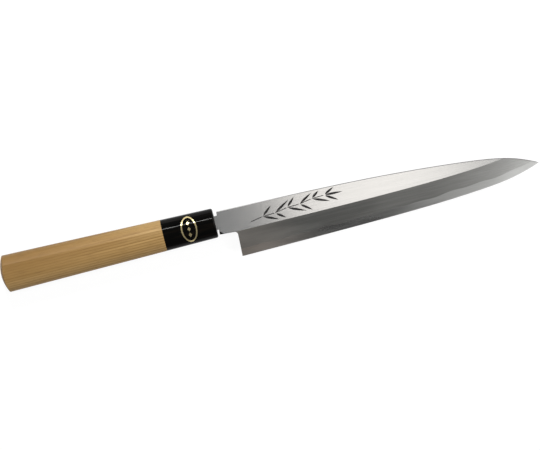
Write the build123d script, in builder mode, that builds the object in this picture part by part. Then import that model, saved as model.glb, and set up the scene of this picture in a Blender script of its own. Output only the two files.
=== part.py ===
from build123d import *
import os
from math import atan2, degrees, pi, sin

# Single-bevel slicing knife (yanagiba) with a chestnut-section wooden handle.
# Millimetres. The knife lies on its back side: +X runs to the tip, +Y to the spine
# and +Z out of the bevelled side. Outlines are drawn from the handle: x is counted
# from the front face of the ferrule, y and z from the handle's axis.

# Handle
handle_length = 142.1
handle_front_height = 19.3
handle_butt_height = 24.3
handle_front_thickness = 15.8
handle_butt_thickness = 19.9
back_share = 0.47
ridge_front_share = 0.306
ridge_butt_share = 0.46
facet_share = 0.38
ridge_radius = 1.3
butt_dome = 3.1
butt_edge_radius = 0.8
ferrule_length = 34.3
ferrule_edge_radius = 1.3
tenon_height = 12.8
tenon_thickness = 10.0
glue_gap = 0.03

# Blade
blade_length = 210.5
upper_shoulder = 2.2
lower_shoulder = 1.0
choil_place = 11.9
choil_lean = 0.7
neck_depth = 8.1
neck_heel_depth = 8.9
spine_rise = 6.85
heel_depth = 25.1
tip_drop = 11.45
choil_radius = 2.0
spine_thickness = 3.8
tip_thickness = 3.15
bevel_width = 16.4
spine_chamfer = 0.4
corner_facet = 2.8

# Curves of the spine and the edge: shares of the way to the tip, along and across
spine_shares = (
    (0, 0), (0.31, 0.06), (0.52, 0.148), (0.74, 0.327), (0.84, 0.453), (0.93, 0.672), (1, 1),
    (1.02, 1.11),
)
edge_shares = (
    (-0.04, -0.01), (0, 0), (0.22, 0.054), (0.43, 0.122), (0.645, 0.233), (0.79, 0.376),
    (0.9, 0.58), (1, 1), (1.03, 1.185),
)

# Steel layer under the iron
layer_thickness = 1.08
layer_wave = 0.07
layer_wavelength = 21.0
layer_second_wave_share = 0.43
layer_start = 5.7
layer_ramp = 1.2
layer_tip_reach = 26.0
layer_tip_thinning = 0.4
layer_points = 61

# Hollow ground into the back: shares of its length and depth
hollow_depth = 0.36
hollow_rim = 1.4
hollow_start = 14.7
hollow_end_margin = 10.0
hollow_end_drop = 10.5
hollow_shares = (
    (0, -0.15), (0.03, 0.7), (0.1, 1), (0.3, 0.88), (0.5, 0.73), (0.7, 0.52), (0.86, 0.27),
    (0.96, 0.06), (1, -0.04),
)

# Tang, its burnt hole in the wood and the resin at the mouth
tang_length = 98.8
tang_height = 9.2
tang_end_height = 5.2
tang_thickness = 3.3
tang_end_thickness = 2.0
tang_drop = 0.3
tang_end_chamfer = 1.5
burn_clearance = 0.3
hole_end_gap = 2.0
seal_depth = 6.0

# Bamboo spray cut into the flat: its twig, and the joint, turn and size of each leaf
spray_start = 20.0
spray_length = 50.0
spray_drop = 4.8
spray_climb = 5.6
twig_pieces = 6
twig_bend = 0.55
twig_width = 0.5
twig_joint = 0.8
leaf_length = 12.0
leaf_width = 1.7
leaf_stalk = 0.9
engraving_depth = 0.18
leaf_joints = (1, 1, 2, 2, 3, 3, 4, 4, 5, 5, 6, 6, 6)
leaf_turns = (40, -22, 31, -35, 44, -22, 30, -36, 36, -20, 27, -2, -31)
leaf_size_shares = (0.68, 0.85, 0.95, 0.6, 0.62, 1, 0.8, 0.72, 0.5, 0.95, 0.6, 0.95, 0.75)

# Gold mark on the ferrule
mark_place = 17.2
mark_height = 16.6
mark_width = 10.4
mark_line = 0.9
lozenge_height = 3.0
lozenge_width = 2.2
lozenge_pitch = 3.8
lozenge_count = 3
foil_thickness = 0.12

# How far cutting shapes run past what they cut
overrun = 6.0

# Places worked out from the sizes
tip_x = upper_shoulder + blade_length
back_z = -spine_thickness / 2
knife = Plane(origin=(
    (handle_length - tip_x) / 2,
    (heel_depth - handle_butt_height / 2) / 2,
    handle_butt_thickness * back_share,
))
handle_axis = Axis(knife.origin, (1, 0, 0))
back_plane = knife.offset(back_z)


def cross_plane(x):
    """The plane square to the handle at x: its own axes are Y and Z."""
    return Plane(origin=knife.from_local_coords((x, 0, 0)), x_dir=(0, 1, 0), z_dir=(1, 0, 0))


# Handle


def handle_bar(inset):
    """The tapered bar of chestnut section that the handle is cut from, drawn in by inset."""
    ends = (
        (0, handle_front_height, handle_front_thickness, ridge_front_share),
        (-handle_length, handle_butt_height, handle_butt_thickness, ridge_butt_share),
    )
    with BuildPart() as bar:
        for x, height, thickness, ridge_share in ends:
            rise = height / 2 - inset
            back = thickness * back_share - inset
            front = thickness - thickness * back_share - inset
            ridge = (rise * ridge_share, front)
            facet = (rise * (ridge_share + facet_share), front * 0.76)
            with BuildSketch(cross_plane(x)):
                with BuildLine():
                    Bezier((rise, 0), (rise, front * 0.42), facet, ridge)
                    Bezier(ridge, (-rise * 0.3, front * 0.93), (-rise, front * 0.66), (-rise, 0))
                    EllipticalCenterArc((0, 0), rise, back, 180, arc_size=180)
                make_face()
        loft(ruled=True)
        fillet(bar.edges().sort_by(Axis.Z)[-1], radius=ridge_radius)
    return bar.part


def tang_section(x, extra):
    """The outline of the tang at x, larger by extra on every side."""
    share = (upper_shoulder - x) / (upper_shoulder + tang_length)
    height = tang_height + (tang_end_height - tang_height) * share
    thickness = tang_thickness + (tang_end_thickness - tang_thickness) * share
    with BuildSketch(cross_plane(x)) as section:
        with Locations((-tang_drop, 0)):
            Rectangle(height + 2 * extra, thickness + 2 * extra)
    return section.sketch


handle = handle_bar(0)
joint_plane = cross_plane(-ferrule_length)

# Gold mark: an oval line round a column of lozenges, let into the horn by its own thickness
with BuildPart() as ferrule_mark:
    add(handle)
    add(handle_bar(foil_thickness), mode=Mode.SUBTRACT)
    with BuildSketch(knife):
        with Locations((-mark_place, 0)):
            Ellipse(mark_width / 2, mark_height / 2)
            Ellipse(mark_width / 2 - mark_line, mark_height / 2 - mark_line, mode=Mode.SUBTRACT)
            with GridLocations(0, lozenge_pitch, 1, lozenge_count):
                Polygon(
                    (0, lozenge_height / 2),
                    (lozenge_width / 2, 0),
                    (0, -lozenge_height / 2),
                    (-lozenge_width / 2, 0),
                )
    extrude(amount=handle_butt_thickness, mode=Mode.INTERSECT)

# Ferrule: a bored ring of horn with its front edge rounded
with BuildPart() as ferrule:
    add(handle)
    split(bisect_by=joint_plane, keep=Keep.TOP)
    front_face = ferrule.faces().sort_by(Axis.X)[-1]
    fillet(front_face.edges(), radius=ferrule_edge_radius)
    with BuildSketch(cross_plane(0)):
        Ellipse(tenon_height / 2 + glue_gap, tenon_thickness / 2 + glue_gap)
    extrude(amount=-ferrule_length, mode=Mode.SUBTRACT)
    add(ferrule_mark.part, mode=Mode.SUBTRACT)

# Wooden handle: domed butt, oval tenon in the ferrule and the burnt hole of the tang
dome_radius = ((handle_butt_height / 2) ** 2 + butt_dome**2) / (2 * butt_dome)
crown = (-handle_length, 0)
dome_edge = (dome_radius - handle_length, dome_radius)


def on_butt_rim(edge):
    """Whether an edge runs round the dome, and not from its crown outwards."""
    box = edge.bounding_box()
    crown_x = knife.origin.X - handle_length
    return crown_x + butt_dome / 4 < box.min.X and box.max.X < crown_x + butt_dome * 2


with BuildPart() as wood_handle:
    add(handle)
    split(bisect_by=joint_plane, keep=Keep.BOTTOM)
    with BuildSketch(knife):
        with BuildLine():
            RadiusArc(crown, dome_edge, dome_radius)
            Polyline(dome_edge, (0, dome_radius), (0, 0), crown)
        make_face()
    revolve(axis=handle_axis, mode=Mode.INTERSECT)
    fillet(wood_handle.edges().filter_by(on_butt_rim), radius=butt_edge_radius)
    with BuildSketch(joint_plane):
        Ellipse(tenon_height / 2, tenon_thickness / 2)
    extrude(amount=ferrule_length)
    add(tang_section(overrun, burn_clearance))
    add(tang_section(-tang_length - hole_end_gap, burn_clearance))
    loft(ruled=True, mode=Mode.SUBTRACT)

# Blade: outline, flat, bevel and tang as one bar
flat_fall = spine_thickness - tip_thickness
flat_plane = Plane(
    origin=knife.from_local_coords((upper_shoulder, 0, -back_z)),
    x_dir=(blade_length, 0, -flat_fall),
    z_dir=(flat_fall, 0, blade_length),
)
heel_thickness = spine_thickness - flat_fall * (choil_place - upper_shoulder) / blade_length
bevel_slope = heel_thickness / bevel_width

spine_points = [
    (upper_shoulder + blade_length * along, spine_rise - (spine_rise + tip_drop) * across)
    for along, across in spine_shares
]
edge_points = [
    (choil_place + (tip_x - choil_place) * along, (heel_depth - tip_drop) * across - heel_depth)
    for along, across in edge_shares
]
with BuildLine(back_plane) as edge_path:
    Spline(*edge_points)
edge_start = edge_path.line @ 0
edge_way = edge_path.line % 0
bevel_plane = Plane(origin=edge_start, x_dir=Vector(0, 0, 1).cross(edge_way), z_dir=edge_way)
corner_plane = Plane(
    origin=knife.from_local_coords(
        (lower_shoulder + corner_facet / 2, corner_facet / 2 - neck_depth, -back_z)
    ),
    x_dir=(-1, -1, 0),
    z_dir=(-1, 1, 0),
)

with BuildPart() as blade:
    with BuildSketch(back_plane) as outline:
        with BuildLine():
            spine_curve = Spline(*spine_points)
            Polyline(
                spine_curve @ 1,
                (tip_x + overrun, -heel_depth - overrun / 2),
                (choil_place, -heel_depth - overrun / 2),
                (choil_place + choil_lean, -neck_heel_depth),
                (lower_shoulder, -neck_depth),
                (upper_shoulder, spine_rise),
            )
        make_face()
        choil_top = (choil_place + choil_lean, -neck_heel_depth)
        inner_corner = outline.vertices().sort_by_distance(choil_top)[0]
        fillet(inner_corner, radius=choil_radius)
    extrude(amount=spine_thickness + overrun)
    split(bisect_by=flat_plane, keep=Keep.BOTTOM)
    with BuildSketch(bevel_plane):
        outer = -heel_depth
        inner = bevel_width + overrun
        top = spine_thickness + 2 * overrun
        Polygon(
            (outer, outer * bevel_slope),
            (inner, inner * bevel_slope),
            (inner, top),
            (outer, top),
            align=None,
        )
    sweep(path=edge_path.line, mode=Mode.SUBTRACT)

    spine_face = blade.faces().sort_by(Axis.Y)[-1]
    spine_edges = spine_face.edges().filter_by(GeomType.BSPLINE).sort_by(Axis.Z)
    chamfer(spine_edges[1:], length=spine_chamfer)
    with BuildSketch(corner_plane):
        Polygon(
            (0, 0),
            (overrun, -overrun),
            (overrun, overrun),
            (0, overrun),
            align=None,
        )
    extrude(amount=overrun, both=True, mode=Mode.SUBTRACT)
    add(tang_section(upper_shoulder, 0))
    add(tang_section(-tang_length, 0))
    loft(ruled=True)
    tang_end = blade.edges().filter_by(Axis.Z).sort_by(Axis.X)[:2]
    chamfer(tang_end, length=tang_end_chamfer)

# Layer of hard steel: all of the blade under a gently waving face, drawn out thin at the tip
layer_end = tip_x + overrun
layer_plane = Plane(
    origin=knife.from_local_coords((0, spine_rise + overrun, 0)), x_dir=(1, 0, 0), z_dir=(0, -1, 0)
)
wave_points = []
for index in range(layer_points):
    x = layer_start + layer_ramp + (layer_end - layer_start - layer_ramp) * index / (layer_points - 1)
    turn = 2 * pi * x / layer_wavelength
    wave = layer_wave * (sin(turn) + sin(turn * layer_second_wave_share))
    thinning = layer_tip_thinning * max(0, 1 - (tip_x - x) / layer_tip_reach)
    wave_points.append((x, back_z + layer_thickness + wave - thinning))
with BuildPart() as layer_zone:
    with BuildSketch(layer_plane):
        with BuildLine():
            Spline(*wave_points)
            Polyline(
                wave_points[-1],
                (layer_end, back_z - overrun),
                (layer_start, back_z - overrun),
                (layer_start, back_z),
                wave_points[0],
            )
        make_face()
    extrude(amount=spine_rise + heel_depth + 2 * overrun)

# Hollow: ground by a wheel whose path follows the middle of the blade
hollow_width = heel_depth + spine_rise - 2 * hollow_rim
wheel_radius = hollow_width**2 / (8 * hollow_depth)
hollow_from = Vector(hollow_start, (spine_rise - heel_depth) / 2, back_z - wheel_radius)
hollow_to = Vector(tip_x - hollow_end_margin, -hollow_end_drop, back_z - wheel_radius)
hollow_run = (hollow_to - hollow_from).length
hollow_way = (hollow_to - hollow_from).normalized()
wheel_plane = Plane(
    origin=knife.from_local_coords(hollow_from),
    x_dir=hollow_way,
    z_dir=hollow_way.cross(Vector(0, 0, -1)),
)
wheel_points = [
    (hollow_run * along, wheel_radius + hollow_depth * deep) for along, deep in hollow_shares
]
with BuildPart() as hard_steel_layer:
    add(blade.part)
    add(layer_zone.part, mode=Mode.INTERSECT)
    with BuildSketch(wheel_plane):
        with BuildLine():
            Spline(*wheel_points)
            Polyline(
                wheel_points[-1],
                (hollow_run, wheel_radius - overrun),
                (0, wheel_radius - overrun),
                wheel_points[0],
            )
        make_face()
    revolve(axis=Axis(wheel_plane.origin, wheel_plane.x_dir), mode=Mode.SUBTRACT)


def leaf(length):
    """A bamboo leaf, broadest near its stalk, growing along X a little off the twig."""
    leaf_end = leaf_stalk + length
    with BuildSketch() as outline_of_leaf:
        with BuildLine():
            for side in (leaf_width / 2, -leaf_width / 2):
                Bezier(
                    (leaf_stalk, 0),
                    (leaf_stalk + length * 0.2, side * 1.4),
                    (leaf_stalk + length * 0.65, side * 0.9),
                    (leaf_end, 0),
                )
        make_face()
    return outline_of_leaf.sketch


# Iron body: the rest of the blade with the tang, and the bamboo spray cut into its flat
spray_nodes = []
for index in range(twig_pieces + 1):
    share = index / twig_pieces
    bend = twig_bend * (index % 2)
    spray_nodes.append(Vector(spray_start + spray_length * share, spray_climb * share + bend - spray_drop))

with BuildPart() as soft_iron_body:
    add(blade.part)
    add(layer_zone.part, mode=Mode.SUBTRACT)
    with BuildSketch(flat_plane):
        for start, end in zip(spray_nodes, spray_nodes[1:]):
            middle = (start + end) / 2
            turn = degrees(atan2(end.Y - start.Y, end.X - start.X))
            with Locations(middle):
                SlotOverall((end - start).length - twig_joint, twig_width, rotation=turn)
        for number, turn, size in zip(leaf_joints, leaf_turns, leaf_size_shares):
            with Locations(spray_nodes[number]):
                add(leaf(leaf_length * size), rotation=turn)
    extrude(amount=-engraving_depth, mode=Mode.SUBTRACT)

# Resin at the mouth of the tang's hole
with BuildPart() as tang_seal:
    add(tang_section(0, burn_clearance))
    add(tang_section(-seal_depth, burn_clearance))
    loft(ruled=True)
    add(blade.part, mode=Mode.SUBTRACT)

pieces = {
    "soft_iron_body": soft_iron_body,
    "hard_steel_layer": hard_steel_layer,
    "wood_handle": wood_handle,
    "ferrule": ferrule,
    "ferrule_mark": ferrule_mark,
    "tang_seal": tang_seal,
}
os.makedirs("parts", exist_ok=True)
for label, piece in pieces.items():
    piece.part.label = label
    export_step(piece.part, f"parts/{label}.step")
    print(label, len(piece.solids()), round(piece.part.volume, 1), piece.part.bounding_box().size)
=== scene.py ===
# %% [markdown]
# # A yanagiba on a white table
# A yanagiba is the long, narrow knife that slices raw fish in one pull. It is ground
# on one side only. The pieces come from the CAD model, already at their true size and
# place, in metres. This lesson gives them their surfaces: honed iron and steel, planed
# magnolia, polished horn, gold foil and resin. Then it lights and frames them.

# %% Load the frame
import math

import bpy
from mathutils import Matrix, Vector


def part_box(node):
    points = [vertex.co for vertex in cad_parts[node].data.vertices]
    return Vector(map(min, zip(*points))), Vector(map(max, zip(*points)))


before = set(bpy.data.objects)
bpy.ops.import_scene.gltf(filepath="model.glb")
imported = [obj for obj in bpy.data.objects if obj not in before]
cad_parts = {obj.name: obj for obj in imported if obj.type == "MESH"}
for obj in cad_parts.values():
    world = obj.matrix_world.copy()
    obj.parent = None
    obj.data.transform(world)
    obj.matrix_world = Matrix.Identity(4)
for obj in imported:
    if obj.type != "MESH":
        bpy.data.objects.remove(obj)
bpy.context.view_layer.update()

MM_PER_METRE = 1000


print("pieces from the frame:", ", ".join(sorted(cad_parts)))

# %% [markdown]
# ## Where things are
# The maker measures a knife from the front face of the ferrule, along the handle's
# axis. The frame's own zero is under the middle of the knife. One small helper turns
# the maker's millimetres into the frame's metres, so every later number can be read
# off the knife itself: x towards the tip, y towards the spine, z up. The flat side of
# the blade falls by two thirds of a millimetre from the neck to the tip, because the
# blade gets thinner, and its slope is kept for the carving. AXIS_Y and AXIS_Z say in
# metres where the handle's axis runs in the frame. The blade's own measures, further
# down, are in millimetres.

# %% From the maker's measure to the frame
AXIS_Y = 0.006475
AXIS_Z = 0.009353
ferrule_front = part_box("ferrule")[1].x
iron_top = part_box("soft_iron_body")[1].z
AXIS = Vector((ferrule_front, AXIS_Y, AXIS_Z))


def place(x, y, z=0.0):
    """A point given in mm from the ferrule's front face and the handle's axis."""
    return AXIS + Vector((x, y, z)) / MM_PER_METRE


SHOULDER = 2.2
BLADE_LENGTH = 210.5
HALF_THICKNESS = 1.9
THINNING = 0.65
FLAT_START = place(SHOULDER, 0.0, HALF_THICKNESS)
FLAT_FALL = THINNING / BLADE_LENGTH
print("front of the ferrule at x =", round(MM_PER_METRE * ferrule_front, 2), "mm")
print("flat starts at z =", round(MM_PER_METRE * FLAT_START.z, 3), "mm")
print("highest iron at z =", round(MM_PER_METRE * iron_top, 3), "mm")

# %% [markdown]
# ## Camera
# The knife lies flat and is seen straight from above, with its handle low at the left.
# A long lens from a metre and a half away keeps the outline free of perspective, as
# in a catalogue picture. The picture is 540 pixels wide and each covers 0.645 mm of
# the blade's plane, which gives the field of view. Turning the camera about the
# vertical tips the knife up by 13.7 degrees.

# %% Set up the camera
PICTURE_PIXELS = 540
PIXEL_SIZE = 0.0006454
PICTURE_WIDTH = PICTURE_PIXELS * PIXEL_SIZE
CAMERA_DISTANCE = 1.5
MIDDLE_X = -0.00136
MIDDLE_Y = -0.00327
MIDDLE_Z = 0.0095
TURN = math.radians(-13.7)
SENSOR_WIDTH = 36
FARTHEST_SEEN = 20

camera = bpy.data.objects.new("camera", bpy.data.cameras.new("camera"))
bpy.context.scene.collection.objects.link(camera)
camera.location = (MIDDLE_X, MIDDLE_Y, MIDDLE_Z + CAMERA_DISTANCE)
camera.rotation_euler = (0, 0, TURN)
camera.data.sensor_width = SENSOR_WIDTH
camera.data.lens = SENSOR_WIDTH * CAMERA_DISTANCE / PICTURE_WIDTH
camera.data.clip_end = FARTHEST_SEEN
bpy.context.scene.camera = camera
bpy.context.scene.view_settings.view_transform = "Standard"
print("lens:", round(camera.data.lens, 1), "mm")

# %% [markdown]
# ## Helpers for materials
# Every finish is a small network of nodes, and a few helpers keep the networks
# readable. One adds a node and fills its inputs, with a number, a colour or another
# node's output. Others stand for the nodes that come back all the time: sums and
# products, ramps from one value to another, mixes and relief. Each piece is a CAD
# node, so a material goes into its slots and the mesh stays as it is.

# %% Nodes and materials
def fill(tree, node, inputs):
    """Fills a node's inputs, by name or number, with values or with outputs."""
    for socket, value in inputs.items():
        if isinstance(value, bpy.types.NodeSocket):
            tree.links.new(value, node.inputs[socket])
        else:
            node.inputs[socket].default_value = value


def add_node(tree, kind, inputs=None, **settings):
    """Adds a node with its settings and its inputs."""
    node = tree.nodes.new(kind)
    for name, value in settings.items():
        setattr(node, name, value)
    fill(tree, node, inputs or {})
    return node


def start_material(name):
    """A new material: its tree, its Principled shader and its Texture Coordinate node."""
    material = bpy.data.materials.new(name)
    material.use_nodes = True
    tree = material.node_tree
    shader = tree.nodes["Principled BSDF"]
    coordinates = tree.nodes.new("ShaderNodeTexCoord")
    return material, tree, shader, coordinates


def dress(node_name, material):
    """Puts a material into a CAD node's slot."""
    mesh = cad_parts[node_name].data
    mesh.materials.clear()
    mesh.materials.append(material)
    print(node_name, "wears", material.name, "with", len(material.node_tree.nodes), "nodes")


# %% Sums, ramps, mixes and relief
def math_node(tree, operation, *values):
    """The output of one Math node, with its inputs in order."""
    return add_node(tree, "ShaderNodeMath", dict(enumerate(values)), operation=operation).outputs[0]


def product(tree, first, *others):
    """All the values multiplied, one Math node after another."""
    for other in others:
        first = math_node(tree, "MULTIPLY", first, other)
    return first


def remap(tree, value, low, high, to_low=0.0, to_high=1.0):
    """The output of a clamped, smoothed Map Range node."""
    inputs = {"Value": value, 1: low, 2: high, 3: to_low, 4: to_high}
    node = add_node(tree, "ShaderNodeMapRange", inputs, interpolation_type="SMOOTHSTEP")
    return node.outputs[0]


def parts_of(tree, vector):
    """The X, Y and Z outputs of a vector."""
    return add_node(tree, "ShaderNodeSeparateXYZ", {0: vector}).outputs


def ramp(tree, parts, axis, start, end, to_low=0.0, to_high=1.0):
    """A smooth ramp along X, Y or Z, between two places in mm on the maker's measure."""
    number = "XYZ".index(axis)
    low = place(start, start, start)[number]
    high = place(end, end, end)[number]
    return remap(tree, parts[axis], low, high, to_low, to_high)


def blend(tree, share, first, second):
    """The output of a colour Mix node: first where share is 0, second where it is 1."""
    node = add_node(tree, "ShaderNodeMix", {0: share, 6: first, 7: second}, data_type="RGBA")
    return node.outputs[2]


def blend_numbers(tree, share, first, second):
    """The output of a number Mix node: first where share is 0, second where it is 1."""
    return add_node(tree, "ShaderNodeMix", {0: share, 2: first, 3: second}).outputs[0]


def add_relief(tree, shader, height, strength, depth):
    """A Bump node on the shader's normal, with its depth in metres."""
    inputs = {"Height": height, "Strength": strength, "Distance": depth}
    relief = add_node(tree, "ShaderNodeBump", inputs)
    tree.links.new(relief.outputs[0], shader.inputs["Normal"])


# %% [markdown]
# ## Shared effects
# Grinding, planing and polishing all leave lines that run along the knife, so one
# group draws such lines: a noise texture whose space is squeezed, which makes its
# grains long and thin. It takes how many grains there are per metre along and across.
# A second group finds arrises: the Bevel node bends the normal near an edge, and the
# difference from the true normal is the mask. It marks where hands and cloth rub, and
# on the iron and the horn also where a painted highlight goes. A third is a soft
# mottling, for stains and uneven polish.

# %% Make and use a group
def start_group(name, takes, gives):
    """A shader group with float inputs, besides its Vector, and one float output."""
    group = bpy.data.node_groups.new(name, "ShaderNodeTree")
    group.interface.new_socket("Vector", in_out="INPUT", socket_type="NodeSocketVector")
    for label, value in takes.items():
        socket = group.interface.new_socket(label, in_out="INPUT", socket_type="NodeSocketFloat")
        socket.default_value = value
    group.interface.new_socket(gives, in_out="OUTPUT", socket_type="NodeSocketFloat")
    return group, group.nodes.new("NodeGroupInput"), group.nodes.new("NodeGroupOutput")


def use_group(tree, group, vector, **values):
    """Places a group in a material, with its own values, and hands back its output."""
    node = tree.nodes.new("ShaderNodeGroup")
    node.node_tree = group
    fill(tree, node, {"Vector": vector, **values})
    return node.outputs[0]


# %% Lines along the knife
drawn_lines, taken, given = start_group(
    "drawn_lines", {"Along": 20.0, "Across": 3000.0, "Detail": 3.0}, "Lines"
)
squeeze = add_node(
    drawn_lines,
    "ShaderNodeCombineXYZ",
    {0: taken.outputs["Along"], 1: taken.outputs["Across"], 2: taken.outputs["Across"]},
)
squeezed = add_node(
    drawn_lines,
    "ShaderNodeVectorMath",
    {0: taken.outputs["Vector"], 1: squeeze.outputs[0]},
    operation="MULTIPLY",
)
grains = add_node(
    drawn_lines,
    "ShaderNodeTexNoise",
    {"Vector": squeezed.outputs[0], "Scale": 1.0, "Detail": taken.outputs["Detail"]},
)
drawn_lines.links.new(remap(drawn_lines, grains.outputs[0], 0.3, 0.7), given.inputs["Lines"])

# %% Rubbed arrises
SMEARS_PER_METRE = 160.0
edge_wear_and_glint, taken, given = start_group("edge_wear_and_glint", {"Width": 0.0004, "Gain": 6.0}, "Rubbed")
rounded = add_node(edge_wear_and_glint, "ShaderNodeBevel", {"Radius": taken.outputs["Width"]}, samples=6)
surface = edge_wear_and_glint.nodes.new("ShaderNodeNewGeometry")
agreement = add_node(
    edge_wear_and_glint,
    "ShaderNodeVectorMath",
    {0: rounded.outputs[0], 1: surface.outputs["True Normal"]},
    operation="DOT_PRODUCT",
)
turned_away = math_node(edge_wear_and_glint, "SUBTRACT", 1.0, agreement.outputs["Value"])
smears = add_node(
    edge_wear_and_glint,
    "ShaderNodeTexNoise",
    {"Vector": taken.outputs["Vector"], "Scale": SMEARS_PER_METRE},
)
patchy = remap(edge_wear_and_glint, smears.outputs[0], 0.2, 0.6, 0.4, 1.0)
worn = product(edge_wear_and_glint, turned_away, taken.outputs["Gain"], patchy)
edge_wear_and_glint.links.new(math_node(edge_wear_and_glint, "MINIMUM", worn, 1.0), given.inputs["Rubbed"])

# %% Mottling
mottling, taken, given = start_group("mottling", {"Size": 0.01, "Low": 0.35, "High": 0.65}, "Clouds")
clouds_per_metre = math_node(mottling, "DIVIDE", 1.0, taken.outputs["Size"])
clouds = add_node(
    mottling,
    "ShaderNodeTexNoise",
    {"Vector": taken.outputs["Vector"], "Scale": clouds_per_metre, "Detail": 4.0, "Roughness": 0.55},
)
cloud_range = add_node(
    mottling,
    "ShaderNodeMapRange",
    {"Value": clouds.outputs[0], 1: taken.outputs["Low"], 2: taken.outputs["High"]},
)
mottling.links.new(cloud_range.outputs[0], given.inputs["Clouds"])
print("groups:", ", ".join(group.name for group in bpy.data.node_groups))

# %% Fine and coarse lines of ground metal
FINE_SHARE = 0.6
COARSE_SHARE = 0.4
METAL_RELIEF = {"strength": 0.03, "depth": 0.00002}


def ground_lines(tree, fine, coarse):
    """Fine lines with coarse ones among them."""
    return math_node(tree, "MULTIPLY_ADD", fine, FINE_SHARE, product(tree, coarse, COARSE_SHARE))


# %% [markdown]
# ## Soft iron
# The upper part of the blade is soft iron. Its flat side is finished with fine
# abrasive along the blade, which gives a silvery satin. The wide bevel below is laid
# on whetstones, so it is hazier and darker, with faint streaks along the edge. It has
# a brown tone near the heel, where damp sits longest, and its colour is painted paler
# near the tip, a painted highlight. The narrow chamfer along the spine is left grey,
# paler by the neck. The small facet at the corner of the neck is painted black, a
# painted reflection of the dark it faces. The surface normal says which face a point
# is on: on the bevel it leans towards the edge, on the chamfer towards the spine. The
# bamboo spray is cut with a chisel, and its grooves are painted dark, a painted shade
# in the recess: they are the points that lie a little below the plane of the flat.

# %% Which face of the iron
CORNER_NORMAL = (-0.5, -0.5, 0.707)

iron, tree, shader, coordinates = start_material("soft_iron")
spot = coordinates.outputs["Object"]
facing = coordinates.outputs["Normal"]
normal_parts = parts_of(tree, facing)
spot_parts = parts_of(tree, spot)
on_bevel = remap(tree, normal_parts["Y"], -0.10, -0.16)
on_spine = remap(tree, normal_parts["Y"], 0.25, 0.5)
corner_way = add_node(
    tree, "ShaderNodeVectorMath", {0: facing, 1: CORNER_NORMAL}, operation="DOT_PRODUCT"
)
on_corner = remap(tree, corner_way.outputs["Value"], 0.90, 0.97)

# %% Which points lie in the carving
DEEP_ENOUGH = (0.00004, 0.00012)
TOO_DEEP = (0.00030, 0.00022)

run = math_node(tree, "SUBTRACT", spot_parts["X"], FLAT_START.x)
flat_height = math_node(tree, "MULTIPLY_ADD", run, -FLAT_FALL, FLAT_START.z)
below_flat = math_node(tree, "SUBTRACT", flat_height, spot_parts["Z"])
in_groove = product(
    tree,
    remap(tree, below_flat, *DEEP_ENOUGH),
    remap(tree, below_flat, *TOO_DEEP),
    ramp(tree, spot_parts, "X", 21, 22),
    ramp(tree, spot_parts, "X", 90, 89),
    ramp(tree, spot_parts, "Y", -8.2, -8.0),
    math_node(tree, "SUBTRACT", 1.0, on_spine),
)

# %% Lines and colour of the iron
SATIN = (0.635, 0.638, 0.636, 1), (0.67, 0.673, 0.671, 1)
HONED = (0.205, 0.205, 0.197, 1), (0.275, 0.275, 0.263, 1)
HONED_PAINTED_PALE_AT_TIP = (0.28, 0.28, 0.271, 1), (0.35, 0.35, 0.339, 1)
DAMP_BROWN = (0.50, 0.46, 0.42, 1)
CHAMFER = (0.60, 0.60, 0.59, 1), (0.20, 0.195, 0.19, 1)
RUBBED_IRON_AND_HIGHLIGHT = (0.75, 0.74, 0.73, 1)
PAINTED_BLACK_FACET = (0.015, 0.014, 0.013, 1)
PAINTED_GROOVE_SHADE = (0.02, 0.019, 0.018, 1)

fine = use_group(tree, drawn_lines, spot, Along=60.0, Across=5200.0)
coarse = use_group(tree, drawn_lines, spot, Along=9.0, Across=900.0)
haze = use_group(tree, drawn_lines, spot, Along=22.0, Across=170.0, Detail=2.0)
toning = use_group(tree, drawn_lines, spot, Along=16.0, Across=120.0, Detail=2.0)
wear_and_glint = use_group(tree, edge_wear_and_glint, spot, Width=0.0003, Gain=14.0)
lines = ground_lines(tree, fine, coarse)
satin = blend(tree, lines, *SATIN)
# Painted highlight: the bevel is painted paler towards the tip.
near_tip = ramp(tree, spot_parts, "X", 135, 205)
honed = blend(tree, near_tip, blend(tree, lines, *HONED), blend(tree, lines, *HONED_PAINTED_PALE_AT_TIP))
near_heel = ramp(tree, spot_parts, "X", 60, 13)
brown = product(tree, near_heel, remap(tree, toning, 0.0, 1.0, 0.5, 1.0))
honed = blend(tree, brown, honed, DAMP_BROWN)
bare = blend(tree, on_bevel, satin, honed)
past_neck = ramp(tree, spot_parts, "X", 15, 75)
# The chamfer is paler by the neck and darker past it.
bare = blend(tree, on_spine, bare, blend(tree, past_neck, *CHAMFER))
# The arrises off the bevel are painted lighter: partly polish from rubbing, partly a painted
# highlight.
arris_wear_and_highlight = product(tree, wear_and_glint, remap(tree, on_bevel, 1.0, 0.0, 0.0, 0.25))
bare = blend(tree, arris_wear_and_highlight, bare, RUBBED_IRON_AND_HIGHLIGHT)
# Painted reflection: the corner facet is painted black.
bare = blend(tree, on_corner, bare, PAINTED_BLACK_FACET)
# Painted shade: the carved grooves are painted near black.
tree.links.new(blend(tree, in_groove, bare, PAINTED_GROOVE_SHADE), shader.inputs["Base Color"])

# %% Gloss and relief of the iron
CHAMFER_ROUGHNESS = 0.45
PAINTED_DARK_ROUGHNESS = 0.8
PAINTED_DARK_METALLIC = 0.3

satin_rough = remap(tree, lines, 0.0, 1.0, 0.22, 0.19)
honed_rough = remap(tree, haze, 0.0, 1.0, 0.34, 0.40)
rough = blend_numbers(tree, on_bevel, satin_rough, honed_rough)
rough = blend_numbers(tree, on_spine, rough, CHAMFER_ROUGHNESS)
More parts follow.
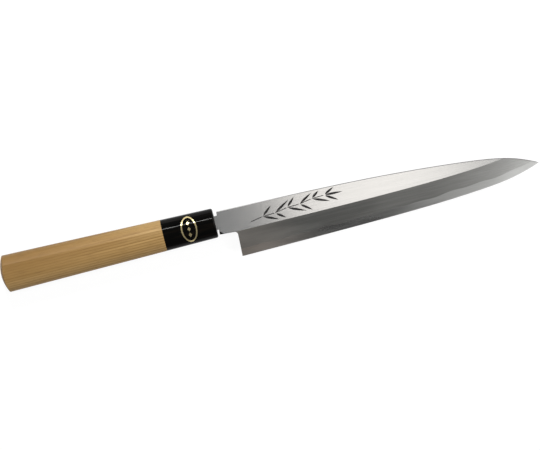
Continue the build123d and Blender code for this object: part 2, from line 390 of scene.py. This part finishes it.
# The painted black corner and the painted dark grooves are also rough and only partly metallic.
painted_dark_patches = math_node(tree, "MAXIMUM", in_groove, on_corner)
rough = blend_numbers(tree, painted_dark_patches, rough, PAINTED_DARK_ROUGHNESS)
tree.links.new(rough, shader.inputs["Roughness"])
tree.links.new(remap(tree, painted_dark_patches, 0.0, 1.0, 1.0, PAINTED_DARK_METALLIC), shader.inputs["Metallic"])
add_relief(tree, shader, lines, **METAL_RELIEF)
dress("soft_iron_body", iron)

# %% [markdown]
# ## Hard steel
# The cutting layer is forge-welded under the iron. It shows as a band along the edge
# with a gently waving upper border, because hard steel takes a finer polish on the
# same stones. The middle of the blade, which is sharpened most, is polished finest,
# and there its colour is painted darker, a painted reflection of the dark room it
# mirrors; at the heel it is brownish, and towards the tip it is hazy, with its colour
# painted darker again, a painted shade that tempers the lamp it mirrors. Only the
# cutting edge itself is rubbed bright. The back is ground hollow and left hazy, and
# only its rim, the one part that touches the stone, is flat and polished: the points
# whose height is that of the stone.

# %% Which face of the steel
steel, tree, shader, coordinates = start_material("hard_steel")
spot = coordinates.outputs["Object"]
spot_parts = parts_of(tree, spot)
normal_parts = parts_of(tree, coordinates.outputs["Normal"])
on_back = remap(tree, normal_parts["Z"], -0.5, -0.9)
on_front = math_node(tree, "SUBTRACT", 1.0, on_back)
above_stone = math_node(tree, "SUBTRACT", spot_parts["Z"], place(0, 0, -HALF_THICKNESS).z)
on_rim = product(tree, on_back, remap(tree, above_stone, 0.00002, 0.000005))

# %% Lines and colour of the steel
HAZY_STEEL = (0.40, 0.40, 0.39, 1), (0.45, 0.45, 0.44, 1)
FINE_POLISH_PAINTED_DARK = (0.22, 0.22, 0.216, 1)
STEEL_PAINTED_DARK_AT_TIP = (0.34, 0.34, 0.333, 1)
STEEL_BROWN = (0.56, 0.50, 0.45, 1)
RIM = (0.66, 0.66, 0.65, 1)
CUTTING_EDGE = (0.80, 0.80, 0.79, 1)

fine = use_group(tree, drawn_lines, spot, Along=60.0, Across=6000.0)
coarse = use_group(tree, drawn_lines, spot, Along=10.0, Across=1100.0)
haze = use_group(tree, drawn_lines, spot, Along=35.0, Across=260.0, Detail=2.0)
wear_and_glint = use_group(tree, edge_wear_and_glint, spot, Width=0.0003, Gain=10.0)
lines = ground_lines(tree, fine, coarse)
bare = blend(tree, lines, *HAZY_STEEL)
past_heel = ramp(tree, spot_parts, "X", 25, 85)
before_belly = ramp(tree, spot_parts, "X", 145, 85)
finest = product(tree, past_heel, before_belly, on_front)
# Painted reflection: the finest-polished middle is painted darker, for the dark room it mirrors.
painted_dark_reflection = product(tree, finest, remap(tree, haze, 0.0, 1.0, 0.9, 0.4))
bare = blend(tree, painted_dark_reflection, bare, FINE_POLISH_PAINTED_DARK)
# Painted shade: the steel is painted darker towards the tip, to temper the lamp it mirrors there.
bare = blend(tree, ramp(tree, spot_parts, "X", 188, 210, 0.0, 0.8), bare, STEEL_PAINTED_DARK_AT_TIP)
near_heel = ramp(tree, spot_parts, "X", 75, 13)
brown = product(tree, near_heel, remap(tree, on_front, 0.0, 1.0, 0.3, 1.0))
bare = blend(tree, brown, bare, STEEL_BROWN)
bare = blend(tree, on_rim, bare, RIM)
low_down = ramp(tree, spot_parts, "Z", -1.2, -1.6, 0.0, 0.3)
bare = blend(tree, product(tree, wear_and_glint, low_down), bare, CUTTING_EDGE)
tree.links.new(bare, shader.inputs["Base Color"])

# %% Gloss and relief of the steel
FINEST_ROUGHNESS = 0.26
RIM_ROUGHNESS = 0.18

hazy_rough = remap(tree, haze, 0.0, 1.0, 0.31, 0.36)
rough = blend_numbers(tree, finest, hazy_rough, FINEST_ROUGHNESS)
rough = blend_numbers(tree, on_rim, rough, RIM_ROUGHNESS)
tree.links.new(rough, shader.inputs["Roughness"])
shader.inputs["Metallic"].default_value = 1.0
add_relief(tree, shader, lines, **METAL_RELIEF)
dress("hard_steel_layer", steel)

# %% [markdown]
# ## Magnolia wood
# The handle is magnolia, planed and left bare. The wood is a solid texture, so the
# grain runs through the piece: long on the sides and in bands on the butt. The rings
# are the distance from a pith line well beside the handle, bent a little by slow
# noise: a handle sawn like that, on the quarter, shows straight lines all along its
# upper side. A sine of that distance draws the thin dark line that ends each year,
# and noise over it makes the years differ. The lines fade above the ridge, where the
# surface leans along the rings. Fibres, streaks and pores are drawn lines of three
# sizes. The colour is painted darker towards the butt and the spine, a painted shade,
# paler on the upper side near the ferrule, a painted sheen, and a little paler on the
# lower side, painted light. The cut ends of fibres at the butt drink in more oil. The
# faces that meet the ferrule are singed black, where the hot tang went through.

# %% Distance from the pith
ZERO_FROM_PITH = (0.0, 0.085, 0.020)
WANDERS_PER_METRE = (5.0, 45.0, 45.0)
WANDER = 0.0010

wood, tree, shader, coordinates = start_material("magnolia_wood")
spot = coordinates.outputs["Object"]
spot_parts = parts_of(tree, spot)
stretched = add_node(tree, "ShaderNodeMapping", {"Vector": spot, "Scale": WANDERS_PER_METRE})
slow_noise = {"Vector": stretched.outputs[0], "Scale": 1.0, "Detail": 1.0}
wander = add_node(tree, "ShaderNodeTexNoise", slow_noise)
across_only = {"Vector": spot, "Location": ZERO_FROM_PITH, "Scale": (0.0, 1.0, 1.0)}
from_pith = add_node(tree, "ShaderNodeMapping", across_only)
radius = add_node(tree, "ShaderNodeVectorMath", {0: from_pith.outputs[0]}, operation="LENGTH")
bent = math_node(tree, "MULTIPLY_ADD", wander.outputs[0], WANDER, radius.outputs["Value"])

# %% Growth rings
RING_WIDTH = 0.00175
UNEVEN_RINGS_PER_METRE = 1000.0

ring_count = product(tree, bent, UNEVEN_RINGS_PER_METRE)
years = {"W": ring_count, "Scale": 1.0, "Detail": 3.0, "Roughness": 0.65}
rings = add_node(tree, "ShaderNodeTexNoise", years, noise_dimensions="1D")
uneven = remap(tree, rings.outputs[0], 0.36, 0.58)
wave = math_node(tree, "SINE", product(tree, bent, 2 * math.pi / RING_WIDTH))
even = remap(tree, wave, -1.0, 0.0, -0.12, 0.88)
evenness = ramp(tree, spot_parts, "Y", 6, 1, 0.3, 0.75)
ring_tone = blend_numbers(tree, evenness, uneven, even)
print("rings about", MM_PER_METRE * RING_WIDTH, "mm wide")

# %% Tone of the plank
DARK_WOOD = (0.23, 0.118, 0.029, 1)
LIGHT_WOOD = (0.58, 0.372, 0.143, 1)
RING_SHARE = 0.55
FIBRE_SHARE = 0.14
STREAK_SHARE = 0.31

fibres = use_group(tree, drawn_lines, spot, Along=14.0, Across=1300.0)
streaks = use_group(tree, drawn_lines, spot, Along=5.0, Across=600.0)
fibre_tone = product(tree, fibres, FIBRE_SHARE)
tone = math_node(tree, "MULTIPLY_ADD", ring_tone, RING_SHARE, fibre_tone)
tone = math_node(tree, "ADD", tone, product(tree, streaks, STREAK_SHARE))
plank = blend(tree, tone, DARK_WOOD, LIGHT_WOOD)

# %% Where the wood is darker or paler
PAINTED_SHADE_WOOD = (0.29, 0.160, 0.046, 1)
PAINTED_SHEEN_WOOD = (0.62, 0.41, 0.17, 1)
LOW_SIDE_PAINTED_LIGHT = (0.60, 0.41, 0.20, 1)
PATCHES = (0.44, 0.26, 0.09, 1)
PATCH_SHARE = 0.15

# Painted shade: darker towards the butt, and more so towards the spine.
towards_butt = ramp(tree, spot_parts, "X", -25, -136, 0.0, 1.15)
towards_spine = ramp(tree, spot_parts, "Y", -9, 4, 0.25, 0.80)
plank = blend(tree, product(tree, towards_butt, towards_spine), plank, PAINTED_SHADE_WOOD)
# Painted sheen: paler on the upper side near the ferrule.
towards_ferrule = ramp(tree, spot_parts, "X", -70, -38, 0.0, 0.35)
past_middle = ramp(tree, spot_parts, "Y", -1, 3)
plank = blend(tree, product(tree, towards_ferrule, past_middle), plank, PAINTED_SHEEN_WOOD)
# Painted light: a little paler on the lower side.
low_side = ramp(tree, spot_parts, "Y", -4, -8, 0.0, 0.18)
plank = blend(tree, low_side, plank, LOW_SIDE_PAINTED_LIGHT)
patches = use_group(tree, mottling, spot, Size=0.05)
plank = blend(tree, product(tree, patches, PATCH_SHARE), plank, PATCHES)

# %% Pores, cut ends, soot and rubbed arrises of the wood
PORE = (0.20, 0.11, 0.04, 1)
END_GRAIN = (0.24, 0.135, 0.05, 1)
SOOT = (0.02, 0.016, 0.012, 1)
RUBBED_WOOD = (0.34, 0.20, 0.08, 1)
WEAR_AND_GLINT_SHARE = 0.25

pores = use_group(tree, drawn_lines, spot, Along=120.0, Across=4200.0, Detail=1.0)
pore = remap(tree, pores, 0.22, 0.05, 0.0, 0.4)
plank = blend(tree, pore, plank, PORE)
normal_parts = parts_of(tree, coordinates.outputs["Normal"])
end_grain = remap(tree, normal_parts["X"], -0.2, -0.8, 0.0, 0.45)
plank = blend(tree, end_grain, plank, END_GRAIN)
sooty = remap(tree, normal_parts["X"], 0.5, 0.8)
plank = blend(tree, sooty, plank, SOOT)
wear_and_glint = use_group(tree, edge_wear_and_glint, spot, Width=0.0008, Gain=2.0)
plank = blend(tree, product(tree, wear_and_glint, WEAR_AND_GLINT_SHARE), plank, RUBBED_WOOD)
tree.links.new(plank, shader.inputs["Base Color"])

# %% Gloss and relief of the wood
tree.links.new(remap(tree, tone, 0.0, 1.0, 0.60, 0.48), shader.inputs["Roughness"])
shader.inputs["Specular IOR Level"].default_value = 0.3
height = math_node(tree, "SUBTRACT", fibres, pore)
add_relief(tree, shader, height, strength=0.2, depth=0.00005)
dress("wood_handle", wood)

# %% [markdown]
# ## Horn, foil and resin
# The ferrule is black horn, buffed until its ridge mirrors a lamp as a thin line. Horn
# is not quite black: brown streaks run through it, and buffing leaves faint smears.
# It mirrors less than most gloss does, so its specular level is low. The mark on it
# is gold foil pressed into the horn, crinkled and worn through in patches. Where the
# tang enters the handle, dark resin keeps the water out.

# %% Black horn
HORN = (0.0025, 0.0025, 0.0024, 1), (0.0065, 0.0048, 0.0036, 1)
RUBBED_HORN_AND_HIGHLIGHT = (0.02, 0.018, 0.017, 1)
BROWN_SHARE = 0.7

horn, tree, shader, coordinates = start_material("black_horn")
spot = coordinates.outputs["Object"]
streaks = use_group(tree, drawn_lines, spot, Along=25.0, Across=500.0)
smears = use_group(tree, mottling, spot, Size=0.006)
scratches = use_group(tree, drawn_lines, spot, Along=90.0, Across=5000.0, Detail=1.0)
wear_and_glint = use_group(tree, edge_wear_and_glint, spot, Width=0.0005, Gain=3.0)
brown = product(tree, remap(tree, streaks, 0.55, 1.0), BROWN_SHARE)
bulk = blend(tree, brown, *HORN)
# The arrises are painted lighter: partly wear from buffing, partly a painted highlight.
bulk = blend(tree, product(tree, wear_and_glint, WEAR_AND_GLINT_SHARE), bulk, RUBBED_HORN_AND_HIGHLIGHT)
tree.links.new(bulk, shader.inputs["Base Color"])
tree.links.new(remap(tree, smears, 0.0, 1.0, 0.06, 0.10), shader.inputs["Roughness"])
shader.inputs["Specular IOR Level"].default_value = 0.07
add_relief(tree, shader, scratches, strength=0.08, depth=0.00001)
dress("ferrule", horn)

# %% Gold foil
FOIL = (0.84, 0.69, 0.33, 1), (0.93, 0.80, 0.47, 1)
WORN_FOIL = (0.42, 0.34, 0.17, 1)

foil, tree, shader, coordinates = start_material("gold_foil")
spot = coordinates.outputs["Object"]
wear = use_group(tree, mottling, spot, Size=0.0012, Low=0.30, High=0.42)
crinkle = use_group(tree, mottling, spot, Size=0.0005)
tint = blend(tree, crinkle, *FOIL)
tree.links.new(blend(tree, wear, WORN_FOIL, tint), shader.inputs["Base Color"])
tree.links.new(remap(tree, wear, 0.0, 1.0, 0.50, 0.36), shader.inputs["Roughness"])
shader.inputs["Metallic"].default_value = 1.0
add_relief(tree, shader, crinkle, strength=0.3, depth=0.00003)
dress("ferrule_mark", foil)

# %% Dark resin
RESIN = (0.012, 0.010, 0.009, 1), (0.035, 0.030, 0.026, 1)

resin, tree, shader, coordinates = start_material("dark_resin")
dust = use_group(tree, mottling, coordinates.outputs["Object"], Size=0.002)
tree.links.new(blend(tree, dust, *RESIN), shader.inputs["Base Color"])
tree.links.new(remap(tree, dust, 0.0, 1.0, 0.45, 0.65), shader.inputs["Roughness"])
add_relief(tree, shader, dust, strength=0.3, depth=0.0001)
dress("tang_seal", resin)

# %% [markdown]
# ## Table
# The knife lies on a plain white table. Most of that white is a glow, which only rays
# from the camera and from glossy or clear surfaces see: the metal mirrors it, but it
# lights nothing else. The surface under it is a plain grey, which takes the soft
# shadow and throws little light back. Seen from underneath, the table lets the view
# through, so that the hollow back of the blade can be looked at too.

# %% Make the table
TABLE_GREY = (0.16, 0.16, 0.16, 1)
GLOW = 0.90

bpy.ops.object.select_all(action="DESELECT")
bpy.ops.mesh.primitive_plane_add(size=12)
table = bpy.context.object
table.name = "table"
white = bpy.data.materials.new("table_white")
white.use_nodes = True
table.data.materials.append(white)

# %% Let it glow, and be clear from below
tree = white.node_tree
shader = tree.nodes["Principled BSDF"]
shader.inputs["Base Color"].default_value = TABLE_GREY
shader.inputs["Roughness"].default_value = 0.9
shader.inputs["Specular IOR Level"].default_value = 0.0
rays = tree.nodes.new("ShaderNodeLightPath").outputs
seen = math_node(tree, "MAXIMUM", rays["Is Camera Ray"], rays["Is Glossy Ray"])
seen = math_node(tree, "MAXIMUM", seen, rays["Is Transmission Ray"])
shine = {"Color": (1, 1, 1, 1), "Strength": product(tree, seen, GLOW)}
glow = add_node(tree, "ShaderNodeEmission", shine)
lit = add_node(tree, "ShaderNodeAddShader", {0: shader.outputs[0], 1: glow.outputs[0]})
from_below = tree.nodes.new("ShaderNodeNewGeometry").outputs["Backfacing"]
clear = tree.nodes.new("ShaderNodeBsdfTransparent")
two_sided = add_node(
    tree, "ShaderNodeMixShader", {0: from_below, 1: lit.outputs[0], 2: clear.outputs[0]}
)
tree.links.new(two_sided.outputs[0], tree.nodes["Material Output"].inputs["Surface"])

# %% [markdown]
# ## Light
# Brushed steel shows what is above it. An oval softbox hangs over the middle of the
# blade, so the flat is bright there and fades to grey towards the neck, and two
# weaker ones carry the light on beyond it and over the neck. The leaning bevel looks
# past all three into the darker room, and only its curved end near the tip faces
# panel_tip. Two large side panels, far off, light the wood and the horn evenly, and
# a strip behind draws the thin bright line on the ferrule's ridge. The room is
# brightest at the horizon, as with white walls and an unlit ceiling.

# %% A softbox
def softbox(name, spot, aim, size, watts, tint=(1, 1, 1), shape="RECTANGLE"):
    """An area lamp at spot that faces aim, with its two sides in metres."""
    lamp = bpy.data.objects.new(name, bpy.data.lights.new(name, "AREA"))
    bpy.context.scene.collection.objects.link(lamp)
    lamp.data.shape = shape
    lamp.data.size, lamp.data.size_y = size
    lamp.data.energy = watts
    lamp.data.color = tint
    lamp.location = spot
    lamp.rotation_euler = (aim - spot).to_track_quat("-Z", "Y").to_euler()
    print(name, "at", [round(value, 2) for value in spot], "with", watts, "W")


# %% Hang the lamps
CREAM = (1, 0.96, 0.915)
IVORY = (1, 0.985, 0.965)
COOL = (0.94, 0.98, 1)
HANG = 500
SIDE_HEIGHT = 900
SIDE_PANEL = (0.8, 0.8)

softbox("softbox_above", place(132, 20, HANG), place(132, 20), (0.17, 0.25), 0.139, CREAM, "ELLIPSE")
softbox("softbox_neck", place(-50, 20, HANG), place(-50, 20), (0.18, 0.25), 0.015, COOL)
softbox("softbox_beyond", place(272, 20, HANG), place(272, 20), (0.12, 0.25), 0.050, IVORY)
softbox("panel_tip", place(392, -260, HANG), place(200, -15), (0.26, 0.22), 0.34)
softbox("panel_right", place(950, -120, SIDE_HEIGHT), place(0, 0), SIDE_PANEL, 6.6)
softbox("panel_left", place(-950, -120, SIDE_HEIGHT), place(0, 0), SIDE_PANEL, 4.2)
softbox("strip_behind", place(-40, 690, 610), place(-20, 0), (0.11, 0.22), 5.4)

# %% The room's own light
WALLS = (0.32, 0.32, 0.32, 1)
CEILING = (0.135, 0.135, 0.135, 1)

world = bpy.data.worlds.new("room")
bpy.context.scene.world = world
world.use_nodes = True
tree = world.node_tree
direction = tree.nodes.new("ShaderNodeTexCoord")
upwards = parts_of(tree, direction.outputs["Generated"])
room_tone = remap(tree, upwards["Z"], 0.05, 0.40)
room_light = blend(tree, room_tone, WALLS, CEILING)
tree.links.new(room_light, tree.nodes["Background"].inputs["Color"])
